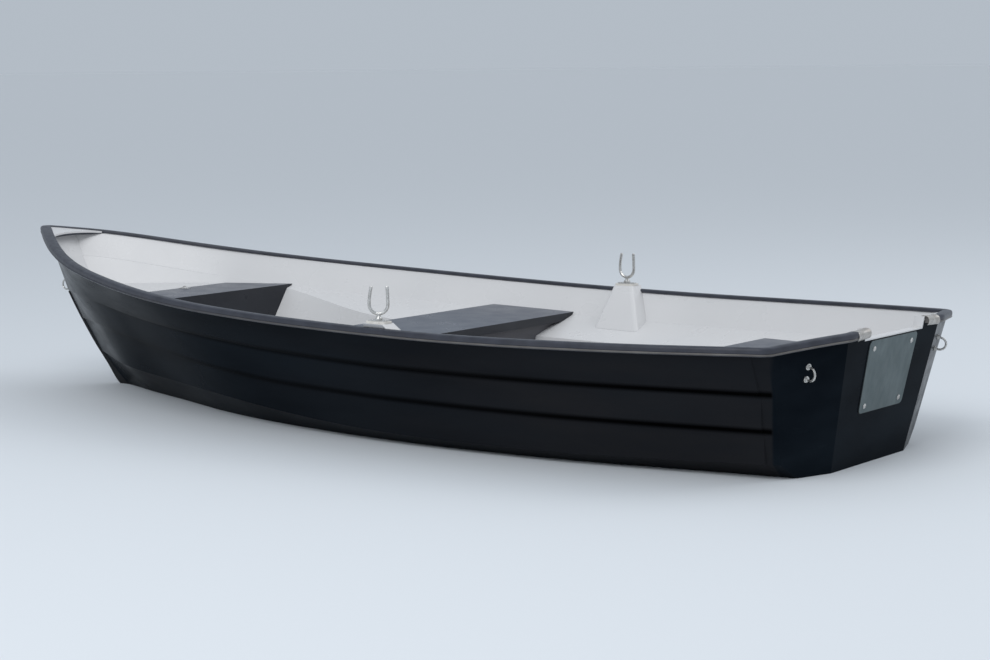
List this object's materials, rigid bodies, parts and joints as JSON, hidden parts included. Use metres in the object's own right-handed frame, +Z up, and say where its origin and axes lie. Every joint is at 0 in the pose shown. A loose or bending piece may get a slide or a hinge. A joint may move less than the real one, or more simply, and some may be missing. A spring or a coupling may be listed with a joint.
{
  "type": "rowing boat",
  "caption": "Small open rowing boat with lapped planks, white liner, seats, rub rail, motor plate and turning oarlocks.",
  "frame": {"origin": "on the waterline, on the centreline, near mid length", "axes": "-X to the bow, +X to the stern, +Y to starboard, +Z up"},
  "size_m": [3.9901, 1.6106, 0.7481],
  "materials": {
    "navy_gelcoat": "high gloss",
    "dark_trim": "satin",
    "white_gelcoat": "gloss",
    "rail_rubber": "satin",
    "grey_plastic": "satin",
    "grey_gelcoat": "satin",
    "brushed_plate": "brushed",
    "stainless": "galvanised and polished"
  },
  "bodies": {
    "boat": {"bow_deck": "white_gelcoat", "bow_eye": "stainless", "bow_seat": "grey_gelcoat", "bow_seat_fitting": "stainless", "hull_shell": "navy_gelcoat", "liner": "white_gelcoat", "middle_thwart": "grey_gelcoat", "motor_notch": "white_gelcoat", "oarlock_block_port": "white_gelcoat", "oarlock_block_starboard": "white_gelcoat", "oarlock_pad_port": "white_gelcoat", "oarlock_pad_starboard": "white_gelcoat", "oarlock_socket_port": "stainless", "oarlock_socket_starboard": "stainless", "rail_end_port": "grey_plastic", "rail_end_starboard": "grey_plastic", "rub_rail": "rail_rubber", "stem_and_keel": "dark_trim", "stern_eye_port": "stainless", "stern_eye_starboard": "stainless", "stern_seat": "grey_gelcoat", "thwart_pedestal": "grey_gelcoat", "transom_plate": "brushed_plate"},
    "oarlock_starboard": {"oarlock_starboard": "stainless"},
    "oarlock_port": {"oarlock_port": "stainless"}
  },
  "joints": [
    {"name": "oarlock_turn_starboard", "type": "hinge", "parent": "boat", "child": "oarlock_starboard", "pos_m": [0.516, 0.75773, 0.4427], "axis": [0, 0, 1], "continuous": true},
    {"name": "oarlock_turn_port", "type": "hinge", "parent": "boat", "child": "oarlock_port", "pos_m": [0.516, -0.75773, 0.4427], "axis": [0, 0, 1], "continuous": true}
  ]
}
